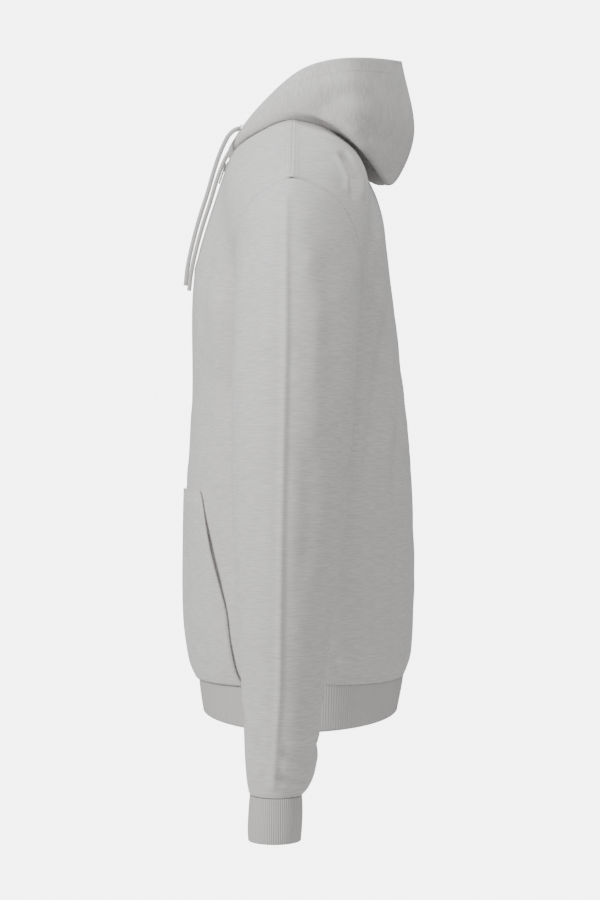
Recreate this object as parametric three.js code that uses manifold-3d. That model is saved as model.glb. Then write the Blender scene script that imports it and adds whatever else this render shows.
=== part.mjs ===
// A zip-up hoodie in its worn, filled-out shape, with nobody in it.
// Millimetres, +Z up. The front faces -Y and the wearer's left is +X.
// The origin is the middle of the neck, level with the tops of the shoulder seams.
import * as THREE from 'three';
import Module from 'manifold-3d';
import { mergeGeometries, mergeVertices } from 'three/addons/utils/BufferGeometryUtils.js';

const wasm = await Module();
wasm.setup();

// ---------------------------------------------------------------- sizes

const jersey = 1.8;          // body, sleeve, pocket and hood cloth
const rib = 2.6;             // hem band and cuffs, folded double
const casing = 4.2;          // the hood's turned edge, with the cord in it
const casingWide = 16;
const seamGap = 0.3;         // between two sewn pieces
const zipHalf = 6;           // from the middle to each front edge
const halfSeam = seamGap / 2;
const weld = 1e-4;           // points closer than this are one

const chain = { half: 2.7, front: 0.4, back: 3, bottom: -648.5, top: -35 };
const tape = { from: 3, to: 5.7, front: 0.6, back: 1.6, top: -31 };
const box = { half: 5, bottom: -657, out: 0.4, back: 3.4 };

const cordThick = 5;
const eyelet = { outer: 5.4, inner: 3.1, thick: 1.1, chamfer: 0.4, lift: 0.7, column: 3 };

const sideCells = 10;        // rows of cells up the side seam
const chestCells = 6;        // rows up the middle from the underarm to the neck
const neckCells = 7;         // rows round half the neck
const armCells = chestCells + neckCells;
const halfCells = 9;         // across one front or half the back
const hoodCells = 12;        // from the neck seam to the casing

// ---------------------------------------------------------------- tables

// The middle of the front and of the back from the hem up: z, then y of each.
const middle = [
  { z: -657, front: -111, back: 112 },
  { z: -640, front: -114, back: 116 },
  { z: -620, front: -116, back: 119 },
  { z: -608, front: -123, back: 124 },
  { z: -590, front: -126.5, back: 128 },
  { z: -562, front: -130.5, back: 131 },
  { z: -520, front: -131.5, back: 131 },
  { z: -470, front: -131.5, back: 131 },
  { z: -421, front: -130.5, back: 129.5 },
  { z: -364, front: -127, back: 126 },
  { z: -318, front: -124, back: 121 },
  { z: -283, front: -123, back: 118 },
  { z: -226, front: -124, back: 111 },
  { z: -175, front: -123.5, back: 105 },
  { z: -141, front: -118.5, back: 101 },
  { z: -106, front: -107, back: 97 },
  { z: -72, front: -95.5, back: 90 },
  { z: -49, front: -89, back: 80 },
  { z: -29, front: -81, back: 66 },
  { z: -22, front: -78, back: 61 },
];

// Half the width at the side seam.
const sides = [
  { z: -657, half: 181 },
  { z: -608, half: 187 },
  { z: -596, half: 192 },
  { z: -560, half: 196 },
  { z: -500, half: 198 },
  { z: -440, half: 197 },
  { z: -380, half: 193 },
  { z: -330, half: 188.5 },
  { z: -290, half: 186 },
];

// Each row of cells up the body: its height in the middle and at the side seam.
const rows = [
  { mid: -620, side: -608 },
  { mid: -609, side: -598 },
  { mid: -590, side: -582 },
  { mid: -560, side: -554 },
  { mid: -533, side: -530 },
  { mid: -470, side: -469 },
  { mid: -407, side: -407 },
  { mid: -378, side: -378 },
  { mid: -349, side: -349 },
  { mid: -319, side: -319 },
  { mid: -290, side: -290 },
];

// Heights in the middle from the underarm row to the neck.
const chestMid = {
  front: [-290, -245, -200, -156, -112, -68, -29],
  back: [-290, -246, -202, -158, -113, -68, -22],
};

// The neck seam, left half.
const neckFront = [
  { x: zipHalf, y: -81, z: -29 },
  { x: 24, y: -77, z: -26 },
  { x: 45, y: -63, z: -17 },
  { x: 64, y: -42, z: -8 },
  { x: 79, y: -22, z: -1 },
  { x: 85, y: -8, z: 0 },
];
const neckBack = [
  { x: 0, y: 61, z: -22 },
  { x: 30, y: 58, z: -20 },
  { x: 58, y: 46, z: -15 },
  { x: 77, y: 24, z: -6 },
  { x: 85, y: -8, z: 0 },
];

// The armhole seam, from the underarm up to the shoulder point.
const armFront = [
  { x: 186, y: 0, z: -290 },
  { x: 184, y: -26, z: -279 },
  { x: 184, y: -50, z: -250 },
  { x: 188, y: -65, z: -200 },
  { x: 197, y: -67, z: -150 },
  { x: 206, y: -58, z: -116 },
  { x: 216, y: -38, z: -96 },
  { x: 225, y: -9, z: -84 },
];
const armBack = [
  { x: 186, y: 0, z: -290 },
  { x: 185, y: 26, z: -279 },
  { x: 186, y: 48, z: -250 },
  { x: 191, y: 62, z: -205 },
  { x: 199, y: 63, z: -165 },
  { x: 207, y: 54, z: -130 },
  { x: 215, y: 34, z: -101 },
  { x: 225, y: -9, z: -84 },
];

// How full each row is, from the hem to the shoulder: square is the corner's squareness, flat turns a
// row from a quarter round (0) into a straight shoulder line (1), out and up lift its middle.
const fullness = {
  front: [
    { row: 0, square: 0.56, flat: 0, out: 0, up: 0 },
    { row: 10, square: 0.6, flat: 0.05, out: 0, up: 0 },
    { row: 13, square: 0.58, flat: 0.3, out: 2, up: 4 },
    { row: 16, square: 0.5, flat: 0.8, out: 8, up: 12 },
    { row: 19, square: 0.5, flat: 1, out: 6, up: 12 },
    { row: 23, square: 0.5, flat: 1, out: 0, up: 5 },
  ],
  back: [
    { row: 0, square: 0.56, flat: 0, out: 0, up: 0 },
    { row: 10, square: 0.62, flat: 0.05, out: 0, up: 0 },
    { row: 13, square: 0.62, flat: 0.3, out: 3, up: 4 },
    { row: 16, square: 0.55, flat: 0.8, out: 14, up: 14 },
    { row: 19, square: 0.5, flat: 1, out: 12, up: 14 },
    { row: 23, square: 0.5, flat: 1, out: 0, up: 5 },
  ],
};

// The sleeve from below the armhole to the cuff: its outer and inner lines and its front and back reach.
const sleeve = [
  { outX: 256, outY: -14, outZ: -118, inX: 190, inY: 0, inZ: -306, front: -66, back: 61 },
  { outX: 292, outY: -15, outZ: -182, inX: 197, inY: 0, inZ: -324, front: -67, back: 57 },
  { outX: 319, outY: -15, outZ: -262, inX: 207, inY: -2, inZ: -356, front: -68, back: 55 },
  { outX: 332, outY: -16, outZ: -338, inX: 216, inY: -4, inZ: -402, front: -69, back: 50 },
  { outX: 337, outY: -18, outZ: -425, inX: 225, inY: -7, inZ: -462, front: -67, back: 46 },
  { outX: 335, outY: -19, outZ: -508, inX: 233, inY: -10, inZ: -528, front: -63, back: 34 },
  { outX: 328, outY: -20, outZ: -585, inX: 242, inY: -13, inZ: -595, front: -58, back: 25 },
  { outX: 321, outY: -22, outZ: -642, inX: 249, inY: -16, inZ: -648, front: -55, back: 18 },
  { outX: 316, outY: -24, outZ: -683, inX: 253, inY: -20, inZ: -686, front: -54, back: 16 },
  { outX: 310, outY: -24, outZ: -703, inX: 259, inY: -24, inZ: -703, front: -50, back: 3 },
];
const sleeveSteps = [0, 0.5, 1, 1.7, 2.5, 3.4, 4.5, 5.6, 6.7, 7.8, 8.8, 9.5, 10];

const cuff = [
  { z: -703.3, halfX: 25, front: -50, back: 2.5 },
  { z: -718, halfX: 26.5, front: -51.5, back: 3.5 },
  { z: -738, halfX: 26.5, front: -52.5, back: 2.5 },
  { z: -748, halfX: 25.5, front: -51.5, back: 1.5 },
];
const cuffMiddle = 285;
const cuffCells = 20;

// The hood's side from the front edge (0) to the seam down its back (1). From the neck seam the cloth
// runs through under, turn (its lowest fold) and side to the brim.
const hood = [
  { at: 0,
    under: [6.2, -82.5, -26.5], turn: [6.4, -82.5, -24], side: [6.8, -81.5, -21], brim: [7.2, -79.5, -17] },
  { at: 0.14,
    under: [26, -79, -23], turn: [28, -79.5, -19], side: [30, -77, -12], brim: [30, -71, -6] },
  { at: 0.3,
    under: [56, -60, -13], turn: [59, -60, -8], side: [61, -56, 4], brim: [57, -49, 17] },
  { at: 0.5,
    under: [90, -10, 2], turn: [96, -9, 7], side: [101, -5, 28], brim: [93, -7, 49] },
  { at: 0.66,
    under: [92, 24, -2], turn: [101, 31, -6], side: [107, 33, 28], brim: [101, 25, 61] },
  { at: 0.8,
    under: [80, 54, -18], turn: [96, 62, -28], side: [105, 68, 14], brim: [97, 60, 66] },
  { at: 0.91,
    under: [48, 74, -33], turn: [58, 89, -55], side: [62, 104, 2], brim: [58, 94, 73] },
  { at: 1,
    under: [0.15, 85, -38], turn: [0.15, 100, -66], side: [0.15, 131.5, -6], brim: [0.15, 117, 83] },
];

// Each pocket runs up the rows of the front to the one named top. Its side edge slants from topReach
// out to slantReach, measured along the cloth from its front edge, and lies straight below the row
// named slantEnd. It is lifted off the front, and its open edge gapes.
const pocket = { inner: 14, topReach: 120, slantReach: 172, top: 6, slantEnd: 4, lift: 3.1, gape: 4 };
const pocketCells = 9;

// Large folds pressed into the body: a line from one place to another, how wide and how deep.
const folds = {
  front: [
    { from: [182, -190], to: [190, -330], wide: 26, deep: 7 },
    { from: [172, -330], to: [182, -470], wide: 24, deep: 3 },
  ],
  back: [
    { from: [190, -150], to: [176, -230], wide: 15, deep: 9 },
    { from: [150, -240], to: [168, -470], wide: 22, deep: 4 },
    { from: [104, -300], to: [120, -560], wide: 20, deep: -3 },
    { from: [60, -130], to: [92, -260], wide: 26, deep: 3 },
  ],
};

// Each free end of the drawstring, from just outside its eyelet down the chest.
const drawstring = [
  { x: 43.5, y: -79, z: -9 },
  { x: 39.5, y: -85, z: -18 },
  { x: 36.5, y: -91, z: -31 },
  { x: 34, y: -97, z: -48 },
  { x: 33, y: -105, z: -75 },
  { x: 33, y: -114, z: -103 },
  { x: 32.5, y: -121.5, z: -131 },
  { x: 32, y: -127, z: -157 },
  { x: 31, y: -129.5, z: -178 },
];

// The zip's slider: its middle's height, its plates, its bail's ring and its pull tab. The tab's pin
// lies clear of the front plate.
const slider = { z: -39, half: 4.2, reach: 5.5, plate: 1.1, clear: 0.3, post: 1.5, postTall: 0.8, pinUp: 1.5 };
const bite = 0.5;            // how far two joined pieces run into each other
const bail = { half: 1, inner: 1.05, outer: 2.15 };
const tab = { pin: 0.7, half: 3.4, slot: 1.35, slotEnd: 2.7, length: 22, thick: 1.3 };

// ---------------------------------------------------------------- colours

const finish = (color, roughness, metalness) => (
  new THREE.MeshStandardMaterial({ color, roughness, metalness }));
const looks = {
  jersey: finish(0xd6d4d2, 0.95, 0),
  rib: finish(0xc6c3c0, 0.97, 0),
  cord: finish(0xcfcdca, 0.9, 0),
  tape: finish(0xc4c1be, 0.9, 0),
  metal: finish(0xb9b9b8, 0.35, 1),
};

const hoodie = new THREE.Group();

function addMesh(name, geometry, material) {
  const mesh = new THREE.Mesh(geometry, material.clone());
  mesh.name = name;
  hoodie.add(mesh);
}

// ---------------------------------------------------------------- curves

const vec = (p) => new THREE.Vector3(p.x, p.y, p.z);
const mirrored = (p) => new THREE.Vector3(-p.x, p.y, p.z);

// One named column of a table, read smoothly at any value of its key column.
function read(table, key, column, value) {
  const up = table[0][key] < table[table.length - 1][key];
  const list = up ? table : [...table].reverse();
  let i = 0;
  while (i < list.length - 2 && value > list[i + 1][key]) i += 1;
  const slope = (k) => {
    const a = list[Math.max(k - 1, 0)];
    const b = list[Math.min(k + 1, list.length - 1)];
    return (b[column] - a[column]) / (b[key] - a[key]);
  };
  const span = list[i + 1][key] - list[i][key];
  const t = THREE.MathUtils.clamp((value - list[i][key]) / span, 0, 1);
  const h = t * t * (3 - 2 * t);
  return list[i][column] * (1 - h) + list[i + 1][column] * h
    + span * t * (1 - t) * (slope(i) * (1 - t) - slope(i + 1) * t);
}

// Evenly spaced points along a smooth line through the given ones, ends included.
function spaced(points, cells) {
  const curve = new THREE.CatmullRomCurve3(points, false, 'centripetal');
  curve.arcLengthDivisions = 400;
  return curve.getSpacedPoints(cells);
}

function bezier(a, b, c, d, t) {
  const s = 1 - t;
  return new THREE.Vector3()
    .addScaledVector(a, s * s * s)
    .addScaledVector(b, 3 * s * s * t)
    .addScaledVector(c, 3 * s * t * t)
    .addScaledVector(d, t * t * t);
}

// ---------------------------------------------------------------- skins

// A skin is a grid of points on the cloth's outer face. Its closed edges are where it meets itself.
function makeSkin(grid, round = false) {
  const skin = { grid, round, down: grid.length, across: grid[0].length };
  skin.normals = gridNormals(skin);
  return skin;
}

function gridNormals({ grid, round, down, across }) {
  const normals = grid.map((row) => row.map(() => new THREE.Vector3()));
  const lastColumn = round ? across : across - 1;
  for (let i = 0; i < down - 1; i += 1) {
    for (let j = 0; j < lastColumn; j += 1) {
      const k = (j + 1) % across;
      const one = grid[i + 1][k].clone().sub(grid[i][j]);
      const two = grid[i + 1][j].clone().sub(grid[i][k]);
      const n = one.cross(two);
      for (const [r, c] of [[i, j], [i, k], [i + 1, j], [i + 1, k]]) normals[r][c].add(n);
    }
  }
  for (const row of normals) for (const n of row) n.normalize();
  return normals;
}

// Where two skins share a point and face much the same way, both use the normal between theirs, so
// that their walls part along one line.
function shareNormals(skins) {
  const places = new Map();
  const name = (p) => [p.x, p.y, p.z].map((v) => Math.round(v * 50)).join();
  for (const skin of skins) {
    skin.grid.forEach((row, i) => row.forEach((p, j) => {
      const key = name(p);
      if (!places.has(key)) places.set(key, []);
      places.get(key).push({ skin, i, j, n: skin.normals[i][j].clone() });
    }));
  }
  for (const group of places.values()) {
    for (const own of group) {
      const sum = new THREE.Vector3();
      for (const other of group) if (own.n.dot(other.n) > 0.25) sum.add(other.n);
      own.skin.normals[own.i][own.j] = sum.normalize();
    }
  }
}

// Closes a skin into a wall of the given thickness, drawn back half a seam gap from its open edges.
// thick may be a function of the row, and keepRight holds every point at or past that x. Up to the row
// openTo, the skin's last column lies on the middle line and is left open for a mirrored half.
function wallOf(skin, thick, { mirror = false, keepRight = null, openTo = 0 } = {}) {
  const { grid, normals, round, down, across } = skin;
  const thickAt = typeof thick === 'function' ? thick : () => thick;
  const positions = [];
  const put = (p) => positions.push(mirror ? -p.x : p.x, p.y, p.z);
  const back = (i, j) => {
    const move = new THREE.Vector3();
    const toward = (p) => {
      const d = p.clone().sub(grid[i][j]);
      d.addScaledVector(normals[i][j], -d.dot(normals[i][j])).normalize();
      move.addScaledVector(d, halfSeam);
    };
    if (i === 0) toward(grid[1][j]);
    if (i === down - 1) toward(grid[i - 1][j]);
    if (!round && j === 0) toward(grid[i][1]);
    if (!round && j === across - 1 && i > openTo) toward(grid[i][j - 1]);
    if (j === across - 1 && i <= openTo && openTo > 0) move.x = 0;
    return move;
  };
  const held = (p) => {
    if (keepRight !== null) p.x = Math.max(p.x, keepRight);
    return p;
  };
  const outer = grid.map((row, i) => row.map((p, j) => held(p.clone().add(back(i, j)))));
  const inner = outer.map((row, i) => row.map((p, j) => (
    held(p.clone().addScaledVector(normals[i][j], -thickAt(i, j))))));
  for (const row of outer) row.forEach(put);
  for (const row of inner) row.forEach(put);
  const out = (i, j) => i * across + (j % across);
  const inn = (i, j) => down * across + out(i, j);
  const faces = [];
  const quad = (a, b, c, d) => faces.push(...(mirror ? [a, c, b, a, d, c] : [a, b, c, a, c, d]));
  const lastColumn = round ? across : across - 1;
  for (let i = 0; i < down - 1; i += 1) {
    for (let j = 0; j < lastColumn; j += 1) {
      quad(out(i, j), out(i + 1, j), out(i + 1, j + 1), out(i, j + 1));
      quad(inn(i, j), inn(i, j + 1), inn(i + 1, j + 1), inn(i + 1, j));
    }
  }
  for (let j = 0; j < lastColumn; j += 1) {
    quad(out(0, j), out(0, j + 1), inn(0, j + 1), inn(0, j));
    quad(out(down - 1, j + 1), out(down - 1, j), inn(down - 1, j), inn(down - 1, j + 1));
  }
  if (!round) {
    for (let i = 0; i < down - 1; i += 1) {
      quad(out(i + 1, 0), out(i, 0), inn(i, 0), inn(i + 1, 0));
      if (i < openTo) continue;
      quad(out(i, across - 1), out(i + 1, across - 1), inn(i + 1, across - 1), inn(i, across - 1));
    }
  }
  const geometry = new THREE.BufferGeometry();
  geometry.setAttribute('position', new THREE.Float32BufferAttribute(positions, 3));
  geometry.setIndex(faces);
  return faceOut(geometry);
}

// Turns a closed mesh's faces outward.
function faceOut(geometry) {
  const p = geometry.getAttribute('position');
  const index = geometry.getIndex();
  const at = (i) => new THREE.Vector3().fromBufferAttribute(p, index.getX(i));
  let volume = 0;
  for (let i = 0; i < index.count; i += 3) volume += at(i).dot(at(i + 1).cross(at(i + 2)));
  if (volume < 0) {
    const turned = [];
    for (let i = 0; i < index.count; i += 3) {
      turned.push(index.getX(i), index.getX(i + 2), index.getX(i + 1));
    }
    geometry.setIndex(turned);
  }
  geometry.computeVertexNormals();
  return geometry;
}

// ---------------------------------------------------------------- body

// How deep the folds of one side are at a place on it.
function foldDepth(list, x, z) {
  let depth = 0;
  for (const { from, to, wide, deep } of list) {
    const dx = to[0] - from[0];
    const dz = to[1] - from[1];
    const length = Math.hypot(dx, dz);
    const along = ((x - from[0]) * dx + (z - from[1]) * dz) / length;
    const off = ((x - from[0]) * dz - (z - from[1]) * dx) / length;
    const fade = THREE.MathUtils.smoothstep(along, -0.2 * length, 0.2 * length)
      * (1 - THREE.MathUtils.smoothstep(along, 0.8 * length, 1.2 * length));
    depth += deep * fade * Math.exp(-((off / (0.5 * wide)) ** 2));
  }
  return depth;
}

const neckPoints = {
  front: spaced(neckFront.map(vec), neckCells),
  back: spaced(neckBack.map(vec), neckCells),
};
const armPoints = {
  front: spaced(armFront.map(vec), armCells),
  back: spaced(armBack.map(vec), armCells),
};

// Where a row starts in the middle or on the neck, and where it ends at the side seam or armhole.
function rowEnds(side, i) {
  const x = side === 'front' ? zipHalf : 0;
  const end = i <= sideCells
    ? new THREE.Vector3(read(sides, 'z', 'half', rows[i].side), 0, rows[i].side)
    : armPoints[side][i - sideCells];
  if (i > sideCells + chestCells) return [neckPoints[side][i - sideCells - chestCells], end];
  const z = i <= sideCells ? rows[i].mid : chestMid[side][i - sideCells];
  return [new THREE.Vector3(x, read(middle, 'z', side, z), z), end];
}

// How a flat row leaves its ends, and over how many cells a fold fades out at the edges.
const flatRow = { near: 0.36, aside: 0.3 };
const foldFade = { ends: 5, hem: 2, shoulder: 3 };

function bodyRow(side, i) {
  const [start, end] = rowEnds(side, i);
  const form = (column) => read(fullness[side], 'row', column, i);
  const square = form('square');
  const flat = form('flat');
  const run = end.clone().sub(start);
  const one = start.clone().add(new THREE.Vector3(
    run.x * THREE.MathUtils.lerp(square, flatRow.near, flat), run.y * flatRow.aside * flat, run.z / 3));
  const two = end.clone().sub(new THREE.Vector3(
    run.x * flatRow.aside * flat, run.y * THREE.MathUtils.lerp(square, flatRow.near, flat), run.z / 3));
  const outward = side === 'front' ? -1 : 1;
  return Array.from({ length: halfCells + 1 }, (_, j) => {
    const t = j / halfCells;
    const lift = Math.sin(Math.PI * t);
    const p = bezier(start, one, two, end, t);
    p.y += outward * lift * form('out');
    p.z += lift * form('up');
    const edge = Math.min(1, foldFade.ends * t * (1 - t)) * Math.min(1, i / foldFade.hem)
      * Math.min(1, (armCells + sideCells - i) / foldFade.shoulder);
    p.y -= outward * edge * foldDepth(folds[side], p.x, p.z);
    return p;
  });
}

const bodyRows = sideCells + armCells + 1;
const halfBody = (side) => Array.from({ length: bodyRows }, (_, i) => bodyRow(side, i));

const frontSkin = makeSkin(halfBody('front'));
// Half the back, from its side edge to the middle line, which it shares with its other half up to the nape.
const backSkin = makeSkin(halfBody('back').map((row) => row.slice().reverse()));
const napeRow = sideCells + chestCells;

// ---------------------------------------------------------------- sleeve

// One section of the sleeve, from its outer line round the front, under the arm and up the back.
function sleeveSection(row) {
  const mid = new THREE.Vector3(row.outX + row.inX, row.outY + row.inY, row.outZ + row.inZ).divideScalar(2);
  const reach = new THREE.Vector3(row.outX, row.outY, row.outZ).sub(mid);
  return Array.from({ length: 2 * armCells }, (_, k) => {
    const angle = (Math.PI * k) / armCells;
    const along = Math.cos(angle);
    const aside = Math.sin(angle);
    const power = along > 0 ? 1.12 : 0.9;
    const e = Math.sign(along) * Math.abs(along) ** power;
    const half = aside > 0 ? mid.y - row.front : row.back - mid.y;
    const p = mid.clone().addScaledVector(reach, e);
    p.y -= Math.sign(aside) * Math.abs(aside) ** (along > 0 ? 1.05 : 0.9) * half;
    return p;
  });
}

const armhole = [
  ...armPoints.front.slice().reverse(),
  ...armPoints.back.slice(1, armCells),
];
const sleeveLevels = [armhole, ...sleeve.map(sleeveSection)];

// The skin between levels, read along each lengthwise line.
const sleeveSkin = makeSkin(sleeveSteps.map((step) => armhole.map((_, k) => {
  const line = sleeveLevels.map((level, n) => ({ n, x: level[k].x, y: level[k].y, z: level[k].z }));
  const value = (column) => read(line, 'n', column, step);
  return new THREE.Vector3(value('x'), value('y'), value('z'));
})), true);

const cuffSkin = makeSkin(cuff.map((row) => Array.from({ length: cuffCells }, (_, k) => {
  const angle = (2 * Math.PI * k) / cuffCells;
  return new THREE.Vector3(
    cuffMiddle + row.halfX * Math.cos(angle),
    (row.front + row.back) / 2 - ((row.back - row.front) / 2) * Math.sin(angle),
    row.z,
  );
})), true);

// ---------------------------------------------------------------- hood

const neckLine = [...neckPoints.front, ...neckPoints.back.slice().reverse().slice(1)];
const hoodColumns = neckLine.length;

function hoodPoint(place, at) {
  const column = (n) => read(hood.map((row) => ({ at: row.at, v: row[place][n] })), 'at', 'v', at);
  return new THREE.Vector3(column(0), column(1), column(2));
}

// One rib of the hood, from the neck seam to the brim, with the casing as its last cell.
function hoodRib(k) {
  const at = k / (hoodColumns - 1);
  const places = ['under', 'turn', 'side', 'brim'].map((place) => hoodPoint(place, at));
  const curve = new THREE.CatmullRomCurve3([neckLine[k].clone(), ...places], false, 'centripetal');
  curve.arcLengthDivisions = 200;
  const length = curve.getLength();
  const toCasing = 1 - Math.min(casingWide, 0.4 * length) / length;
  const steps = Array.from({ length: hoodCells + 1 }, (_, i) => (toCasing * i) / hoodCells);
  return [...steps, 1].map((u) => curve.getPointAt(u));
}

const ribs = neckLine.map((_, k) => hoodRib(k));
const hoodSkin = makeSkin(ribs[0].map((_, i) => ribs.map((line) => line[i])));

// ---------------------------------------------------------------- hem band

const bandLevels = [
  { mid: -657, side: -660 },
  { mid: -640, side: -634 },
  { mid: -620, side: -608 },
];

// The band runs from the left front edge round the back to the right front edge.
function bandRow(level) {
  const left = (side) => {
    const half = read(sides, 'z', 'half', level.side);
    const x = side === 'front' ? zipHalf : 0;
    const start = new THREE.Vector3(x, read(middle, 'z', side, level.mid), level.mid);
    const end = new THREE.Vector3(half, 0, level.side);
    const run = end.clone().sub(start);
    const square = fullness[side][0].square;
    const one = start.clone().add(new THREE.Vector3(run.x * square, 0, run.z / 3));
    const two = end.clone().sub(new THREE.Vector3(0, run.y * square, run.z / 3));
    return Array.from({ length: halfCells + 1 }, (_, j) => bezier(start, one, two, end, j / halfCells));
  };
  const front = left('front');
  const back = left('back');
  return [
    ...front,
    ...back.slice().reverse().slice(1),
    ...back.slice(1).map(mirrored),
    ...front.slice().reverse().slice(1).map(mirrored),
  ];
}

const bandSkin = makeSkin(bandLevels.map((level) => bandRow(level)));

// ---------------------------------------------------------------- pocket

// A place on one row of the left front's outer face, at an arc length from its front edge.
function onFront(row, reach) {
  const line = frontSkin.grid[row];
  const face = frontSkin.normals[row];
  let left = reach;
  let j = 0;
  while (j < halfCells - 1 && left > line[j].distanceTo(line[j + 1])) {
    left -= line[j].distanceTo(line[j + 1]);
    j += 1;
  }
  const s = left / line[j].distanceTo(line[j + 1]);
  return {
    point: line[j].clone().lerp(line[j + 1], s),
    normal: face[j].clone().lerp(face[j + 1], s).normalize(),
  };
}

function pocketPoint(row, column) {
  const slant = THREE.MathUtils.clamp((row - pocket.slantEnd) / (pocket.top - pocket.slantEnd), 0, 1);
  const reach = THREE.MathUtils.lerp(pocket.slantReach, pocket.topReach, slant);
  const t = column / pocketCells;
  const { point, normal } = onFront(row, THREE.MathUtils.lerp(pocket.inner, reach, t));
  const open = pocket.gape * Math.sin(Math.PI * slant) ** 2 * t ** 4;
  return point.addScaledVector(normal, pocket.lift + open);
}

const pocketSkin = makeSkin(Array.from({ length: pocket.top + 1 }, (_, row) => (
  Array.from({ length: pocketCells + 1 }, (_unused, column) => pocketPoint(row, column)))));

// ---------------------------------------------------------------- cloth pieces

shareNormals([frontSkin, backSkin, sleeveSkin]);
for (const row of backSkin.normals.slice(0, napeRow + 1)) row[halfCells].setX(0).normalize();

const backHalves = [false, true].map((mirror) => {
  const half = wallOf(backSkin, jersey, { mirror, openTo: napeRow });
  half.deleteAttribute('normal');
  return half;
});
addMesh('back', faceOut(mergeVertices(mergeGeometries(backHalves), weld)), looks.jersey);
for (const [name, mirror] of [['left', false], ['right', true]]) {
  addMesh(`front_${name}`, wallOf(frontSkin, jersey, { mirror }), looks.jersey);
  addMesh(`sleeve_${name}`, wallOf(sleeveSkin, jersey, { mirror }), looks.jersey);
  addMesh(`cuff_${name}`, wallOf(cuffSkin, rib, { mirror }), looks.rib);
  addMesh(`hood_${name}`, wallOf(hoodSkin, (i) => (i >= hoodCells ? casing : jersey), {
    mirror, keepRight: halfSeam }), looks.jersey);
  addMesh(`pocket_${name}`, wallOf(pocketSkin, jersey, { mirror }), looks.jersey);
}
addMesh('hem_band', wallOf(bandSkin, rib), looks.rib);

// ---------------------------------------------------------------- zip

// The heights where the front edge bends, which everything along the zip follows.
const edgeHeights = [
  ...bandLevels.slice(0, 2).map((level) => level.mid),
  ...rows.map((row) => row.mid),
  ...chestMid.front.slice(1),
];
const edgePoint = (z) => new THREE.Vector2(read(middle, 'z', 'front', z), z);

// Straight from bend to bend, a height on the front edge, and the way out from the cloth there.
function onEdge(z) {
  let i = 0;
  while (i < edgeHeights.length - 2 && z > edgeHeights[i + 1]) i += 1;
  const low = edgePoint(edgeHeights[i]);
  const high = edgePoint(edgeHeights[i + 1]);
  const along = high.clone().sub(low).normalize();
  const point = low.lerp(high, (z - low.y) / (high.y - low.y));
  return { point, along, out: new THREE.Vector2(-along.y, along.x) };
}

// Turns a shape drawn in y and z, and extruded, so that it runs across from one x to another.
function across(shape, from, to) {
  const turn = new THREE.Matrix4().makeBasis(
    new THREE.Vector3(0, 1, 0), new THREE.Vector3(0, 0, 1), new THREE.Vector3(1, 0, 0));
  return new THREE.ExtrudeGeometry(shape, { depth: to - from, bevelEnabled: false, curveSegments: 6 })
    .applyMatrix4(turn).translate(from, 0, 0);
}

// A slab along the zip, between two depths below the cloth's face.
function alongZip(from, to, bottom, top, front, back) {
  const heights = [bottom, ...edgeHeights.filter((z) => z > bottom + 3 && z < top - 3), top];
  const line = (depth) => heights.map((z) => {
    const { point } = onEdge(z);
    const out = onEdge(z - 2).out.add(onEdge(z + 2).out).normalize();
    return point.addScaledVector(out, -depth);
  });
  return across(new THREE.Shape([...line(front), ...line(back).reverse()]), from, to);
}

function solidOf(geometry) {
  const bare = geometry.clone();
  bare.deleteAttribute('normal');
  bare.deleteAttribute('uv');
  const merged = mergeVertices(bare, weld);
  return new wasm.Manifold(new wasm.Mesh({
    numProp: 3,
    vertProperties: new Float32Array(merged.getAttribute('position').array),
    triVerts: new Uint32Array(merged.getIndex().array),
  }));
}

function geometryOf(solid) {
  const { vertProperties, triVerts } = solid.getMesh();
  const geometry = new THREE.BufferGeometry();
  geometry.setAttribute('position', new THREE.BufferAttribute(vertProperties, 3));
  geometry.setIndex(new THREE.BufferAttribute(triVerts, 1));
  geometry.computeVertexNormals();
  return geometry;
}

const joined = (...geometries) => geometryOf(geometries.map(solidOf).reduce((a, b) => a.add(b)));

// A box from ranges of x, of the way out from the cloth, and of the way up along it.
function slab([x0, x1], [out0, out1], [up0, up1]) {
  return new THREE.BoxGeometry(x1 - x0, out1 - out0, up1 - up0)
    .translate((x0 + x1) / 2, -(out0 + out1) / 2, (up0 + up1) / 2);
}

// Places a piece made round the slider's own middle onto the zip.
function onSlider(geometry) {
  const { point, along } = onEdge(slider.z);
  return geometry.rotateX(-Math.atan2(along.x, along.y)).translate(0, point.x, point.y);
}

const plateBack = slider.clear - chain.front;
const plateFront = plateBack + slider.plate;
const pinOut = plateFront + slider.clear + tab.pin;

function sliderGeometry() {
  const backFace = -(chain.back + slider.clear);
  const wide = [-slider.half, slider.half];
  const tall = [-slider.reach, slider.reach];
  const ring = new THREE.Shape().absarc(-pinOut, slider.pinUp, bail.outer, 0, 2 * Math.PI);
  ring.holes.push(new THREE.Path().absarc(-pinOut, slider.pinUp, bail.inner, 0, 2 * Math.PI, true));
  return joined(
    slab(wide, [plateBack, plateFront], tall),
    slab(wide, [backFace - slider.plate, backFace], tall),
    slab([-slider.post, slider.post], [backFace - bite, plateFront - 0.4 * bite],
      [slider.reach - slider.postTall, slider.reach]),
    across(ring, -bail.half, bail.half),
  );
}

// The tab hangs from its pin, and the bail's ring runs through its slot.
function tabGeometry() {
  const faces = [pinOut - tab.thick / 2, pinOut + tab.thick / 2];
  const pin = new THREE.CylinderGeometry(tab.pin, tab.pin, 2 * tab.half, 12)
    .rotateZ(Math.PI / 2).translate(0, -pinOut, slider.pinUp);
  const low = slider.pinUp - tab.slotEnd;
  return joined(
    pin,
    slab([-tab.half, -tab.slot], faces, [low - bite, slider.pinUp]),
    slab([tab.slot, tab.half], faces, [low - bite, slider.pinUp]),
    slab([-tab.half, tab.half], faces, [slider.pinUp - tab.length, low]),
  );
}

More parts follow.
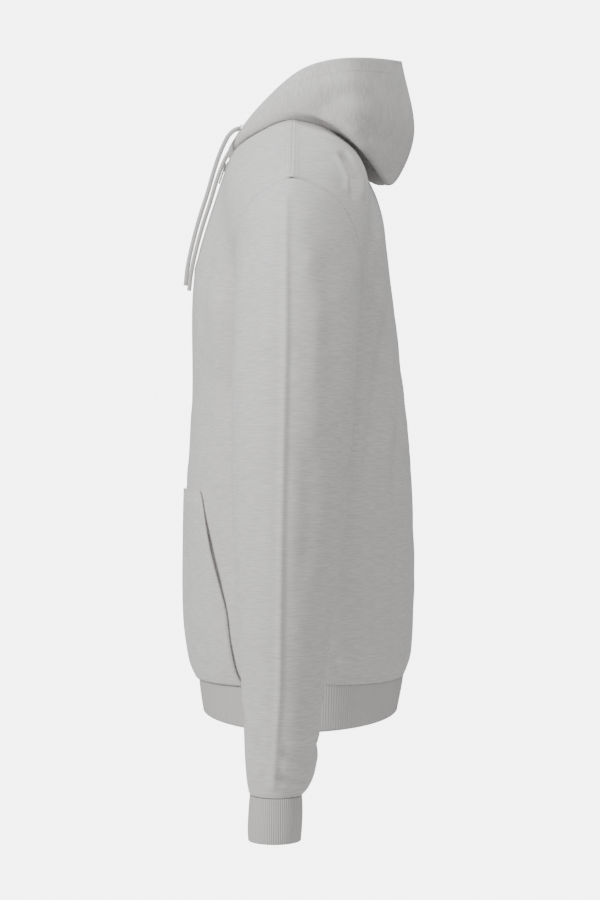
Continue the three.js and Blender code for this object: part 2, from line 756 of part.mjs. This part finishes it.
addMesh('zip_chain', alongZip(
  -chain.half, chain.half, chain.bottom, chain.top, chain.front, chain.back), looks.metal);
for (const [name, from, to] of [['left', tape.from, tape.to], ['right', -tape.to, -tape.from]]) {
  addMesh(`zip_tape_${name}`, alongZip(
    from, to, chain.bottom, tape.top, tape.front, tape.back), looks.tape);
}
addMesh('zip_box', alongZip(
  -box.half, box.half, box.bottom, chain.bottom - seamGap, -box.out, box.back), looks.metal);
addMesh('zip_slider', onSlider(sliderGeometry()), looks.metal);
addMesh('zip_pull', onSlider(tabGeometry()), looks.metal);

// ---------------------------------------------------------------- drawstring

// The eyelet lies on the middle of the casing.
const casingPlace = (list) => list[hoodCells][eyelet.column].clone()
  .lerp(list[hoodCells + 1][eyelet.column], 0.5);
const eyeletOut = casingPlace(hoodSkin.normals).normalize();
const eyeletMiddle = casingPlace(hoodSkin.grid).addScaledVector(eyeletOut, eyelet.lift);

function eyeletGeometry() {
  const profile = [
    [eyelet.inner, 0], [eyelet.outer, 0], [eyelet.outer - eyelet.chamfer, eyelet.thick],
    [eyelet.inner + eyelet.chamfer, eyelet.thick], [eyelet.inner, 0],
  ].map(([x, y]) => new THREE.Vector2(x, y));
  const turn = new THREE.Quaternion().setFromUnitVectors(new THREE.Vector3(0, 1, 0), eyeletOut);
  return new THREE.LatheGeometry(profile, 20).applyQuaternion(turn)
    .translate(eyeletMiddle.x, eyeletMiddle.y, eyeletMiddle.z);
}

function cordGeometry() {
  const path = new THREE.CatmullRomCurve3([
    eyeletMiddle.clone().addScaledVector(eyeletOut, seamGap),
    eyeletMiddle.clone().addScaledVector(eyeletOut, cordThick),
    ...drawstring.map(vec),
  ]);
  const round = new THREE.Shape().absarc(0, 0, cordThick / 2, 0, 2 * Math.PI);
  return new THREE.ExtrudeGeometry(round, { steps: 24, curveSegments: 5, extrudePath: path });
}

// The same piece on the wearer's right, with its faces turned back out.
function otherSide(geometry) {
  const bare = geometry.clone();
  bare.deleteAttribute('normal');
  bare.deleteAttribute('uv');
  return faceOut(mergeVertices(bare, weld).scale(-1, 1, 1));
}

addMesh('eyelet_left', eyeletGeometry(), looks.metal);
addMesh('eyelet_right', otherSide(eyeletGeometry()), looks.metal);
addMesh('drawstring_left', cordGeometry(), looks.cord);
addMesh('drawstring_right', otherSide(cordGeometry()), looks.cord);

export default hoodie;
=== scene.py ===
import math

import bmesh
import bpy
import numpy as np
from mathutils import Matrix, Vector
from mathutils.bvhtree import BVHTree
from mathutils.kdtree import KDTree


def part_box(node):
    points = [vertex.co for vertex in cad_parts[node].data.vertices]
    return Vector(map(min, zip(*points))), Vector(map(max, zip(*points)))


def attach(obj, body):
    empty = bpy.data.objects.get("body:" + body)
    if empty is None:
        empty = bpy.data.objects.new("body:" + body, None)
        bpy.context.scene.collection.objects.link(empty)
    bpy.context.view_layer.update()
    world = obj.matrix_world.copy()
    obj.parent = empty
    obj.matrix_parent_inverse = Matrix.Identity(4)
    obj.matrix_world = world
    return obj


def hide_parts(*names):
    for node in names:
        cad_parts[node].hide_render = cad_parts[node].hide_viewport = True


mm = 0.001
jerseyWall = 1.5 * mm  # shown thickness of the jersey
ribWall = 2.3 * mm
fine = 3  # subdivision levels on the cloth

camera = dict(place=(2.0, 0, -0.364), lens=69.6)
lamps = dict(
    key=dict(place=(1.9, -2.4, 0.9), aim=(0.1, 0, -0.3), size=1.1, power=98),
    fill=dict(place=(2.8, 1.6, 0.2), aim=(0, 0, -0.35), size=1.8, power=20),
    top=dict(place=(0.5, 0.0, 2.2), aim=(0, 0, -0.3), size=1.4, power=30),
)
ambient, backdrop = 0.42, 6  # how bright the studio is for the cloth and for the camera
floorHeight, floorRadius = -1.02, 0.5
rimAngle = 62  # degrees, past which two faces are not on one side of a wall
stitchPitch = 3.1


def addCamera():
    data = bpy.data.cameras.new("camera")
    data.lens = camera["lens"]
    obj = bpy.data.objects.new("camera", data)
    obj.location = camera["place"]
    obj.rotation_euler = (math.pi / 2, 0, math.pi / 2)
    bpy.context.collection.objects.link(obj)
    bpy.context.scene.camera = obj


def addLamps():
    for name, lamp in lamps.items():
        data = bpy.data.lights.new(name, "AREA")
        data.shape = "DISK"
        data.size = lamp["size"]
        data.energy = lamp["power"]
        obj = bpy.data.objects.new(name, data)
        obj.location = lamp["place"]
        aim = Vector(lamp["aim"]) - obj.location
        obj.rotation_euler = aim.to_track_quat("-Z", "Y").to_euler()
        bpy.context.collection.objects.link(obj)
    world = bpy.data.worlds.new("studio")
    bpy.context.scene.world = world
    world.use_nodes = True
    tree = world.node_tree
    back = tree.nodes["Background"]
    back.inputs["Color"].default_value = (1, 1, 1, 1)
    seen = addNode(tree, "ShaderNodeLightPath")
    strength = rangeOf(tree, seen.outputs["Is Camera Ray"], 0, 1, ambient, backdrop)
    tree.links.new(strength, back.inputs["Strength"])


def addFloor():
    bm = bmesh.new()
    bmesh.ops.create_circle(bm, cap_ends=True, segments=64, radius=floorRadius)
    for v in bm.verts:
        v.co.z = floorHeight
    floor = meshObject("floor", bm)
    floor.data.materials.append(plainMaterial("floorPaint", (0.97, 0.97, 0.97), 0.9))


def newMaterial(name):
    material = bpy.data.materials.new(name)
    material.use_nodes = True
    return material, material.node_tree, material.node_tree.nodes["Principled BSDF"]


def plainMaterial(name, color, roughness, metallic=0.0):
    material, _tree, shader = newMaterial(name)
    shader.inputs["Base Color"].default_value = (*color, 1)
    shader.inputs["Roughness"].default_value = roughness
    shader.inputs["Metallic"].default_value = metallic
    return material


def addNode(tree, kind, inputs=None, **settings):
    node = tree.nodes.new(kind)
    for key, value in settings.items():
        setattr(node, key, value)
    for key, value in (inputs or {}).items():
        if isinstance(value, bpy.types.NodeSocket):
            tree.links.new(value, node.inputs[key])
        else:
            node.inputs[key].default_value = value
    return node


def streaks(tree, place, stretch, detail):
    # noise drawn out along the knit's courses
    turned = addNode(tree, "ShaderNodeMapping", {"Vector": place, "Scale": stretch})
    noise = addNode(
        tree, "ShaderNodeTexNoise",
        {"Vector": turned.outputs["Vector"], "Scale": 1.0, "Detail": detail, "Roughness": 0.6})
    return noise.outputs["Fac"]


def mixColor(tree, factor, one, two):
    node = addNode(tree, "ShaderNodeMix", data_type="RGBA")
    for key, value in ((0, factor), (6, one), (7, two)):
        if isinstance(value, bpy.types.NodeSocket):
            tree.links.new(value, node.inputs[key])
        else:
            node.inputs[key].default_value = value
    return node.outputs[2]


def rangeOf(tree, value, low, high, outLow=0.0, outHigh=1.0):
    node = addNode(tree, "ShaderNodeMapRange", {
        "Value": value, "From Min": low, "From Max": high, "To Min": outLow, "To Max": outHigh})
    return node.outputs["Result"]


def jerseyMaterial(name, along, across, light, dark):
    # heather jersey: pale and dark fibres in slubby streaks, with a soft nap
    material, tree, shader = newMaterial(name)
    coords = addNode(tree, "ShaderNodeTexCoord")
    place = coords.outputs["Object"]
    slub = streaks(tree, place, across, 4.0)
    fleck = streaks(tree, place, along, 2.0)
    cloud = streaks(tree, place, (14, 14, 20), 2.0)
    color = mixColor(tree, rangeOf(tree, slub, 0.36, 0.68), (*dark, 1), (*light, 1))
    paler = tuple(min(1.0, c * 1.14) for c in light)
    color = mixColor(tree, rangeOf(tree, fleck, 0.6, 0.8, 0.0, 0.55), color, (*paler, 1))
    color = mixColor(tree, rangeOf(tree, cloud, 0.4, 0.7, 0.0, 0.12), color, (*dark, 1))
    tree.links.new(color, shader.inputs["Base Color"])
    shader.inputs["Roughness"].default_value = 0.95
    shader.inputs["Specular IOR Level"].default_value = 0.15
    shader.inputs["Sheen Weight"].default_value = 0.25
    shader.inputs["Sheen Roughness"].default_value = 0.6
    bump = addNode(tree, "ShaderNodeBump", {"Height": slub, "Strength": 0.35, "Distance": 0.0006})
    bump = addNode(tree, "ShaderNodeBump", {
        "Height": fleck, "Strength": 0.3, "Distance": 0.0005, "Normal": bump.outputs["Normal"]})
    tree.links.new(bump.outputs["Normal"], shader.inputs["Normal"])
    return material


def ribMaterialPaintedShade(name, light, dark):
    # rib knit: cords run up the piece, counted by its own "around" attribute in rib widths; the base
    # colour is painted darker in the low valleys between the cords, painted shade that follows the bump
    material, tree, shader = newMaterial(name)
    around = addNode(tree, "ShaderNodeAttribute", attribute_name="around")
    wave = addNode(tree, "ShaderNodeMath", {0: around.outputs["Fac"]}, operation="SINE")
    cords = rangeOf(tree, wave.outputs["Value"], -1.0, 1.0)
    coords = addNode(tree, "ShaderNodeTexCoord")
    fleck = streaks(tree, coords.outputs["Object"], (900, 900, 1500), 3.0)
    # painted shade: the colour goes to the dark tone where the cord wave is low, in the valleys between
    # the cords
    color = mixColor(tree, cords, (*dark, 1), (*light, 1))
    color = mixColor(tree, rangeOf(tree, fleck, 0.35, 0.7, 0.0, 0.4), color, (*dark, 1))
    tree.links.new(color, shader.inputs["Base Color"])
    shader.inputs["Roughness"].default_value = 0.96
    shader.inputs["Specular IOR Level"].default_value = 0.12
    shader.inputs["Sheen Weight"].default_value = 0.2
    bump = addNode(tree, "ShaderNodeBump", {"Height": cords, "Strength": 0.8, "Distance": 0.0006})
    bump = addNode(tree, "ShaderNodeBump", {
        "Height": fleck, "Strength": 0.3, "Distance": 0.0004, "Normal": bump.outputs["Normal"]})
    tree.links.new(bump.outputs["Normal"], shader.inputs["Normal"])
    return material


def makeMaterials():
    pale, grey = (0.735, 0.72, 0.705), (0.585, 0.57, 0.56)
    return dict(
        jersey=jerseyMaterial("jerseyKnit", (420, 420, 1500), (75, 75, 900), pale, grey),
        hood=jerseyMaterial("hoodKnit", (1300, 900, 300), (600, 480, 60), pale, grey),
        # painted shade: the rib colours are set darker than the jersey's, standing in for the lower light
        # at the hem band and cuffs
        rib=ribMaterialPaintedShade("ribKnitPaintedShade", (0.66, 0.645, 0.63), (0.52, 0.505, 0.495)),
        thread=plainMaterial("thread", (0.62, 0.605, 0.59), 0.9),
        cord=jerseyMaterial(
            "cordBraid", (700, 700, 700), (500, 500, 900), (0.7, 0.685, 0.67), (0.5, 0.49, 0.48)),
        tape=plainMaterial("zipTape", (0.6, 0.585, 0.57), 0.92),
        metal=plainMaterial("zipMetal", (0.62, 0.62, 0.62), 0.32, 1.0),
    )


def meshObject(name, bm):
    mesh = bpy.data.meshes.new(name)
    bm.to_mesh(mesh)
    bm.free()
    obj = bpy.data.objects.new(name, mesh)
    bpy.context.collection.objects.link(obj)
    return obj


def outerFaces(bm):
    # the outer face of a wall is the largest group of faces bounded by its sharp rim
    for face in bm.faces:
        face.tag = False
    groups = []
    for start in bm.faces:
        if start.tag:
            continue
        start.tag = True
        stack, group = [start], []
        while stack:
            face = stack.pop()
            group.append(face)
            for edge in face.edges:
                if len(edge.link_faces) != 2 or edge.calc_face_angle(0) > math.radians(rimAngle):
                    continue
                for other in edge.link_faces:
                    if not other.tag:
                        other.tag = True
                        stack.append(other)
        groups.append((sum(f.calc_area() for f in group), group))
    return max(groups, key=lambda g: g[0])[1]


def outerSkin(node):
    bm = bmesh.new()
    bm.from_mesh(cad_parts[node].data)
    bmesh.ops.remove_doubles(bm, verts=bm.verts, dist=0.02 * mm)
    bm.normal_update()
    kept = set(outerFaces(bm))
    bmesh.ops.delete(bm, geom=[f for f in bm.faces if f not in kept], context="FACES")
    bmesh.ops.join_triangles(
        bm, faces=bm.faces, angle_face_threshold=math.radians(50),
        angle_shape_threshold=math.radians(80), cmp_seam=False)
    return bm


def subdivided(name, bm, levels):
    obj = meshObject(name + "Draft", bm)
    obj.modifiers.new("smooth", "SUBSURF")
    obj.modifiers["smooth"].levels = levels
    obj.modifiers["smooth"].render_levels = levels
    obj.modifiers["smooth"].boundary_smooth = "PRESERVE_CORNERS"
    depsgraph = bpy.context.evaluated_depsgraph_get()
    mesh = bpy.data.meshes.new_from_object(obj.evaluated_get(depsgraph))
    draft = obj.data
    bpy.data.objects.remove(obj)
    bpy.data.meshes.remove(draft)
    return mesh


def read(mesh, what="co"):
    data = np.empty(len(mesh.vertices) * 3)
    source = mesh.vertices if what == "co" else mesh.vertex_normals
    source.foreach_get("co" if what == "co" else "vector", data)
    return data.reshape(-1, 3)


def toLine(points, line):
    # distance from each point to a line of straight stretches, and how far along it (0 to 1)
    line = np.array(line, float)
    steps = np.linalg.norm(np.diff(line, axis=0), axis=1)
    starts = np.concatenate([[0], np.cumsum(steps)])
    best = np.full(len(points), 1e9)
    along = np.zeros(len(points))
    for i, step in enumerate(steps):
        run = (line[i + 1] - line[i]) / step
        t = np.clip((points - line[i]) @ run, 0, step)
        away = np.linalg.norm(points - line[i] - t[:, None] * run, axis=1)
        nearer = away < best
        best[nearer] = away[nearer]
        along[nearer] = (starts[i] + t[nearer]) / starts[-1]
    return best, along


def foldOffsets(co, normals, folds):
    # each fold is drawn in the view it shows in: "side" in y and z, "front" and "back" in x and z
    total = np.zeros(len(co))
    outward = dict(front=-1, back=1)
    for fold in folds:
        if fold["view"] == "side":
            flat = co[:, 1:] / mm
            facing = normals[:, 0] * np.sign(co[:, 0])
        else:
            flat = np.column_stack([np.abs(co[:, 0]), co[:, 2]]) / mm
            facing = normals[:, 1] * outward[fold["view"]]
        away, along = toLine(flat, fold["line"])
        seen = np.clip(facing * 3 + 0.6, 0, 1)
        taper = np.clip(along / 0.18, 0, 1) * np.clip((1 - along) / 0.22, 0, 1)
        taper = taper * taper * (3 - 2 * taper)
        end = fold.get("end", 0.0)
        strength = (1 - end) * taper + end
        shape = np.exp(-((away / (0.5 * fold["wide"])) ** 2))
        if fold["deep"] > 0:
            shape = shape - 0.28 * np.exp(-(((away - fold["wide"]) / (0.45 * fold["wide"])) ** 2))
        total -= fold["deep"] * mm * strength * seen * shape
    return total


def softWaves(co, size, height, seed):
    # slow, shallow unevenness, so that no stretch of cloth is perfectly fair
    total = np.zeros(len(co))
    for k in range(6):
        turn = seed * 1.7 + k * 2.4
        way = np.array([math.cos(turn), math.sin(turn * 1.3), math.sin(turn * 0.7 + 1)])
        total += np.sin(co @ way * (2 * math.pi / (size * mm)) * (0.7 + 0.22 * k) + k * 1.9 + seed)
    return total * height * mm / 3


def openEdges(mesh):
    # the edges that only one face uses
    uses = {}
    for poly in mesh.polygons:
        for key in poly.edge_keys:
            uses[key] = uses.get(key, 0) + 1
    return [key for key, count in uses.items() if count == 1]


def edgeFade(mesh, reach):
    # 0 on the open edges, 1 from reach inward
    rim = sorted({v for key in openEdges(mesh) for v in key})
    co = read(mesh)
    tree = KDTree(len(rim))
    for v in rim:
        tree.insert(co[v], v)
    tree.balance()
    away = np.array([tree.find(p)[2] for p in co])
    t = np.clip(away / (reach * mm), 0, 1)
    return t * t * (3 - 2 * t)


def clothPiece(name, node, material, folds, seed, wall=jerseyWall, waves=0.5,
               reach=12, around=None, levels=fine):
    mesh = subdivided(name, outerSkin(node), levels)
    mesh.name = name
    co = read(mesh)
    normals = read(mesh, "normal")
    fade = edgeFade(mesh, reach)
    offset = foldOffsets(co, normals, folds) + softWaves(co, 70, waves, seed)
    co = co + normals * (offset * fade)[:, None]
    mesh.vertices.foreach_set("co", co.ravel())
    mesh.shade_smooth()
    obj = bpy.data.objects.new(name, mesh)
    bpy.context.collection.objects.link(obj)
    if around is not None:
        layer = mesh.attributes.new("around", "FLOAT", "POINT")
        layer.data.foreach_set("value", around(co))
    solid = obj.modifiers.new("wall", "SOLIDIFY")
    solid.thickness = wall
    solid.offset = -1
    mesh.materials.clear()
    mesh.materials.append(material)
    for poly in mesh.polygons:
        poly.material_index = 0
    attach(obj, "garment")
    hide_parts(node)
    return obj


bodyFolds = [
    # the chest falls back beside the sleeve
    dict(view="side", line=[(-66, -130), (-70, -190), (-68, -270), (-72, -350)], wide=22, deep=5),
    dict(view="side", line=[(-76, -360), (-84, -450), (-80, -520)], wide=20, deep=2.2),
    dict(view="front", line=[(176, -150), (168, -230), (176, -330)], wide=24, deep=4),
    # folds down the back of the side
    dict(view="side", line=[(92, -165), (66, -330), (54, -400)], wide=13, deep=-3.2, end=0.3),
    dict(view="side", line=[(97, -170), (99, -330), (92, -365), (92, -440), (95, -540)], wide=12, deep=-3),
    dict(view="side", line=[(104, -310), (110, -390), (116, -480), (120, -560)], wide=9, deep=-2),
    dict(view="side", line=[(80, -250), (76, -340), (70, -420)], wide=14, deep=3),
    dict(view="side", line=[(108, -240), (106, -340), (104, -440)], wide=12, deep=2.4),
    dict(view="side", line=[(62, -480), (66, -580)], wide=12, deep=-2),
    dict(view="side", line=[(84, -470), (80, -585)], wide=13, deep=2.2),
    # across the back
    dict(view="back", line=[(150, -120), (140, -190), (128, -280)], wide=20, deep=2.4),
    dict(view="back", line=[(60, -180), (84, -300), (92, -430)], wide=24, deep=2.2),
    dict(view="back", line=[(20, -330), (34, -450), (30, -570)], wide=22, deep=1.8),
    dict(view="back", line=[(120, -420), (124, -520), (112, -590)], wide=18, deep=2.2),
    dict(view="back", line=[(150, -500), (156, -590)], wide=14, deep=1.8),
    # above the hem band, where the cloth is gathered in
    dict(view="side", line=[(-92, -560), (-84, -600)], wide=9, deep=2),
    dict(view="side", line=[(-104, -575), (-78, -588)], wide=8, deep=1.6),
    dict(view="side", line=[(-58, -570), (-50, -603)], wide=9, deep=1.6),
    dict(view="side", line=[(36, -575), (40, -603)], wide=9, deep=1.5),
    dict(view="front", line=[(60, -560), (66, -608)], wide=12, deep=1.4),
    dict(view="front", line=[(112, -150), (96, -240)], wide=26, deep=2),
]

backCrease = dict(view="side", line=[(42, -44), (50, -56), (58, -76), (57, -104)], wide=8, deep=7)

sleeveFolds = [
    # pressed crease down the outside
    dict(view="side", line=[(-14, -110), (-14, -255), (-16, -354), (-18, -453), (-20, -600), (-26, -690)],
         wide=7, deep=-2.6, end=0.5),
    dict(view="side", line=[(24, -150), (34, -230), (30, -330)], wide=18, deep=2.2),
    dict(view="side", line=[(-44, -150), (-52, -240), (-50, -330)], wide=18, deep=1.6),
    dict(view="side", line=[(6, -360), (10, -420), (4, -500)], wide=16, deep=1.3),
    dict(view="side", line=[(-46, -420), (-40, -470), (-30, -500)], wide=13, deep=1.2),
    # bunched above the cuff
    dict(view="side", line=[(-20, -655), (0, -668), (14, -672)], wide=9, deep=2.4),
    dict(view="side", line=[(-24, -678), (-6, -688), (12, -690)], wide=8, deep=2.6),
    dict(view="side", line=[(-46, -640), (-38, -664), (-30, -690)], wide=9, deep=1.8),
    dict(view="side", line=[(2, -610), (12, -640)], wide=10, deep=1.4),
    dict(view="front", line=[(262, -420), (286, -470), (310, -500)], wide=14, deep=2),
    dict(view="front", line=[(268, -600), (300, -640)], wide=12, deep=2),
    dict(view="back", line=[(230, -330), (262, -380), (300, -400)], wide=16, deep=2.4),
    dict(view="back", line=[(258, -640), (300, -664)], wide=11, deep=2.2),
]

hoodFolds = [
    dict(view="side", line=[(10, -8), (40, 18), (84, 26)], wide=20, deep=1.6),
    dict(view="side", line=[(30, 4), (74, -16), (110, -22)], wide=18, deep=1.5),
    dict(view="side", line=[(96, -56), (108, -50), (120, -38)], wide=8, deep=2.2),
    dict(view="back", line=[(20, 60), (30, 10), (24, -40)], wide=18, deep=1.4),
]

pocketFolds = [
    dict(view="side", line=[(-84, -545), (-80, -575), (-84, -604)], wide=9, deep=-1.8),
    dict(view="side", line=[(-110, -560), (-98, -590), (-100, -606)], wide=9, deep=1.8),
    dict(view="front", line=[(60, -440), (84, -520), (70, -590)], wide=22, deep=1.6),
    dict(view="side", line=[(-122, -590), (-96, -600)], wide=8, deep=1.4),
]


def rimLoops(mesh):
    # the open edges of a cloth piece, each as a closed run of its points
    beside = {}
    for a, b in openEdges(mesh):
        beside.setdefault(a, []).append(b)
        beside.setdefault(b, []).append(a)
    loops, used = [], set()
    for start in beside:
        if start in used:
            continue
        loop, last, here = [start], None, start
        used.add(start)
        while True:
            ahead = [v for v in beside[here]
                     if v != last and (v not in used or v == start and len(loop) > 2)]
            if not ahead or ahead[0] == start:
                break
            last, here = here, ahead[0]
            used.add(here)
            loop.append(here)
        loops.append(loop)
    return loops


def insetLine(obj, choose, inset):
    # a line on the cloth beside the part of its rim that choose picks, moved in by inset
    mesh = obj.data
    co = read(mesh)
    surface = BVHTree.FromPolygons([Vector(p) for p in co], [tuple(p.vertices) for p in mesh.polygons])
    centre = {}
    for poly in mesh.polygons:
        for v in poly.vertices:
            centre.setdefault(v, []).append(poly.center)
    lines = []
    for loop in rimLoops(mesh):
        run = []
        for i, v in enumerate(loop):
            p = Vector(co[v])
            if not choose(p / mm):
                if len(run) > 2:
                    lines.append(run)
                run = []
                continue
            ahead = Vector(co[loop[(i + 1) % len(loop)]]) - Vector(co[loop[i - 1]])
            inward = sum(centre[v], Vector()) / len(centre[v]) - p
            inward -= ahead * (inward.dot(ahead) / max(ahead.length_squared, 1e-12))
            if inward.length < 1e-7:
                continue
            near, normal, _face, _gap = surface.find_nearest(p + inward.normalized() * inset * mm)
            run.append((near, normal))
        if len(run) > 2:
            lines.append(run)
    return lines


def addStitches(bm, line, pitch, radius=0.34, lift=0.1):
    # small spindles along a line on the cloth
    step = 0.0
    for (a, n), (b, _m) in zip(line, line[1:]):
        span = (b - a).length
        if span < 1e-7 or span > 30 * mm:
            continue
        while step < span:
            middle = a.lerp(b, step / span) + n * lift * mm
            way = (b - a) / span
            side = way.cross(n).normalized()
            ring = [way * pitch * 0.38 * mm, side * radius * mm, n * radius * mm]
            tips = [bm.verts.new(middle + s * ring[0]) for s in (1, -1)]
            belt = [bm.verts.new(middle + v) for v in (ring[1], ring[2], -ring[1], -ring[2])]
            for i in range(4):
                bm.faces.new((tips[0], belt[i], belt[(i + 1) % 4]))
                bm.faces.new((tips[1], belt[(i + 1) % 4], belt[i]))
            step += pitch * mm
        step -= span


def stitchPiece(name, obj, rows, material):
    bm = bmesh.new()
    for choose, inset in rows:
        for line in insetLine(obj, choose, inset):
            addStitches(bm, line, stitchPitch)
    made = meshObject(name, bm)
    made.data.materials.append(material)
    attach(made, "garment")


def onShoulder(p):
    return -10 < p.y < -6 and p.x * p.x > 84 ** 2 and p.z > -86


def onArmhole(p):
    return abs(p.x) > 183 and p.z > -292 and not onShoulder(p)


def onBrim(p):
    rise = 26 if p.y > 30 else 0
    return p.z > -20 and p.z > 0.62 * p.y - 12 + rise and abs(p.x) > 1


def onNape(p):
    return abs(p.x) < 1 and p.y > 96


def onHem(p):
    return p.z < -606


def onWrist(p):
    return p.z < -690


def anywhere(_p):
    return True


def onPocketTop(p):
    return p.z > -540


# the stitch rows of each kind of piece: which part of its rim, and how far in
stitchRows = dict(
    body=[(onArmhole, 2.2), (onShoulder, 3.2), (onShoulder, 7), (onHem, 3), (onHem, 7)],
    sleeve=[(onWrist, 3)],
    hood=[(onBrim, 15.5), (onNape, 4.6)],
    pocket=[(anywhere, 1.8), (onPocketTop, 7)],
)


def addSeams(made, thread):
    for name in ("front_left", "front_right", "back"):
        stitchPiece("stitch_" + name, made[name], stitchRows["body"], thread)
    for hand in ("left", "right"):
        for kind in ("sleeve", "hood", "pocket"):
            piece = kind + "_" + hand
            stitchPiece("stitch_" + piece, made[piece], stitchRows[kind], thread)


cordThick = 5
cordRoute = [  # the left end, from just outside its eyelet down the chest
    (43.5, -79, -9), (39.5, -85, -18), (36.5, -91, -31), (34, -97, -48), (33, -105, -75),
    (33, -114, -103), (32.5, -121.5, -131), (32, -127, -157), (31, -129.5, -178),
]


def addCords(material):
    # each free end leaves its eyelet and hangs down the chest
    for hand, sign in (("left", 1), ("right", -1)):
        low, high = (Vector(p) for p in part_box("eyelet_" + hand))
        eyelet = (low + high) / 2
        out = Vector((sign * 0.35, -0.87, -0.34)).normalized()
        points = [eyelet, eyelet + out * cordThick * mm]
        points += [Vector((sign * x, y, z)) * mm for x, y, z in cordRoute]
        data = bpy.data.curves.new("drawcord_" + hand, "CURVE")
        data.dimensions = "3D"
        data.bevel_depth = cordThick / 2 * mm
        data.bevel_resolution = 4
        data.use_fill_caps = True
        spline = data.splines.new("BEZIER")
        spline.bezier_points.add(len(points) - 1)
        for bez, point in zip(spline.bezier_points, points):
            bez.co = point
            bez.handle_left_type = bez.handle_right_type = "AUTO"
        obj = bpy.data.objects.new("drawcord_" + hand, data)
        obj.data.materials.append(material)
        bpy.context.collection.objects.link(obj)
        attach(obj, "garment")
        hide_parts("drawstring_" + hand)


tooth = dict(size=(3.6, 2.2, 1.5), pitch=2.1, first=1.8, aside=0.75, sunk=1.25, bevel=0.28)


def addTeeth(material):
    # the chain's teeth, alternately from each tape, on the solid's own face
    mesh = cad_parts["zip_chain"].data
    co = read(mesh) / mm
    front = {}
    for _x, y, z in co:
        key = round(float(z), 0)
        front[key] = min(front.get(key, 1e9), float(y))
    zs = [z for z in sorted(front) if front[z] < -60]
    ys = [front[z] for z in zs]
    bm = bmesh.new()
    for k in range(int((zs[-1] - zs[0] - 3) / tooth["pitch"])):
        z = zs[0] + tooth["first"] + k * tooth["pitch"]
        y = float(np.interp(z, zs, ys))
        slope = float(np.interp(z + 2, zs, ys) - np.interp(z - 2, zs, ys)) / 4
        side = 1 if k % 2 else -1
        made = bmesh.ops.create_cube(bm, size=1)["verts"]
        bmesh.ops.scale(bm, verts=made, vec=Vector(tooth["size"]) * mm)
        for v in made:
            v.co.y += v.co.z * slope
        bmesh.ops.translate(bm, verts=made, vec=Vector((side * tooth["aside"], y + tooth["sunk"], z)) * mm)
    bmesh.ops.bevel(
        bm, geom=bm.edges[:], offset=tooth["bevel"] * mm, segments=1, affect="EDGES", profile=0.5)
    teeth = meshObject("zipTeeth", bm)
    teeth.data.materials.append(material)
    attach(teeth, "garment")
    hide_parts("zip_chain")


def finishHardware(materials):
    # the rest of the zip and the eyelets keep their mesh, with a better finish on the object's slot
    finishes = dict(
        metal=("zip_slider", "zip_pull", "zip_box", "eyelet_left", "eyelet_right"),
        tape=("zip_tape_left", "zip_tape_right"))
    for finish, nodes in finishes.items():
        for node in nodes:
            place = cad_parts[node].material_slots[0]
            place.link = "OBJECT"
            place.material = materials[finish]


def ringCount(middle, ribWidth):
    # rib number round a tube or band, from its angle and mean reach
    def count(co):
        x, y = co[:, 0] - middle[0], co[:, 1] - middle[1]
        angle = np.arctan2(y, x)
        reach = np.mean(np.hypot(x, y))
        return angle * round(reach * 2 * math.pi / ribWidth)
    return count


def addCloth(materials):
    jersey, rib = materials["jersey"], materials["rib"]
    made = {}
    made["back"] = clothPiece(
        "backCloth", "back", jersey, bodyFolds + [backCrease],
        seed=1)
    for side in ("left", "right"):
        made["front_" + side] = clothPiece(
            "frontCloth_" + side, "front_" + side, jersey, bodyFolds,
            seed=2)
        made["sleeve_" + side] = clothPiece(
            "sleeveCloth_" + side, "sleeve_" + side, jersey, sleeveFolds,
            seed=3)
        made["hood_" + side] = clothPiece(
            "hoodCloth_" + side, "hood_" + side, materials["hood"], hoodFolds,
            seed=4, reach=5)
        made["pocket_" + side] = clothPiece(
            "pocketCloth_" + side, "pocket_" + side, jersey, pocketFolds,
            seed=5, waves=0.3, levels=fine - 1)
        cuffMiddle = (0.285 if side == "left" else -0.285, -0.0245)
        made["cuff_" + side] = clothPiece(
            "cuffRib_" + side, "cuff_" + side, rib, [], wall=ribWall, seed=6,
            waves=0.15, reach=4, around=ringCount(cuffMiddle, 2.2 * mm))
    made["band"] = clothPiece(
        "hemRib", "hem_band", rib, [], wall=ribWall, seed=7, waves=0.2, reach=4,
        around=ringCount((0, 0), 2.4 * mm))
    return made


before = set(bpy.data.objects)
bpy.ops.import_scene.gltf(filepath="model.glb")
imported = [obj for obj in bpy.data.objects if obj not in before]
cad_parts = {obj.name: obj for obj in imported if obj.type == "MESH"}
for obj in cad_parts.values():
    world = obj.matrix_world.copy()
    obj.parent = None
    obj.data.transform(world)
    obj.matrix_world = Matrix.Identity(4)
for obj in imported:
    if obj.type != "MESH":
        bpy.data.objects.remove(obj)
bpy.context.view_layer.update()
addCamera()
print("camera")
addLamps()
addFloor()
materials = makeMaterials()
print("materials")
addCords(materials["cord"])
print("cords")
made = addCloth(materials)
print("cloth")
addSeams(made, materials["thread"])
print("seams")
addTeeth(materials["metal"])
finishHardware(materials)
print("zip")
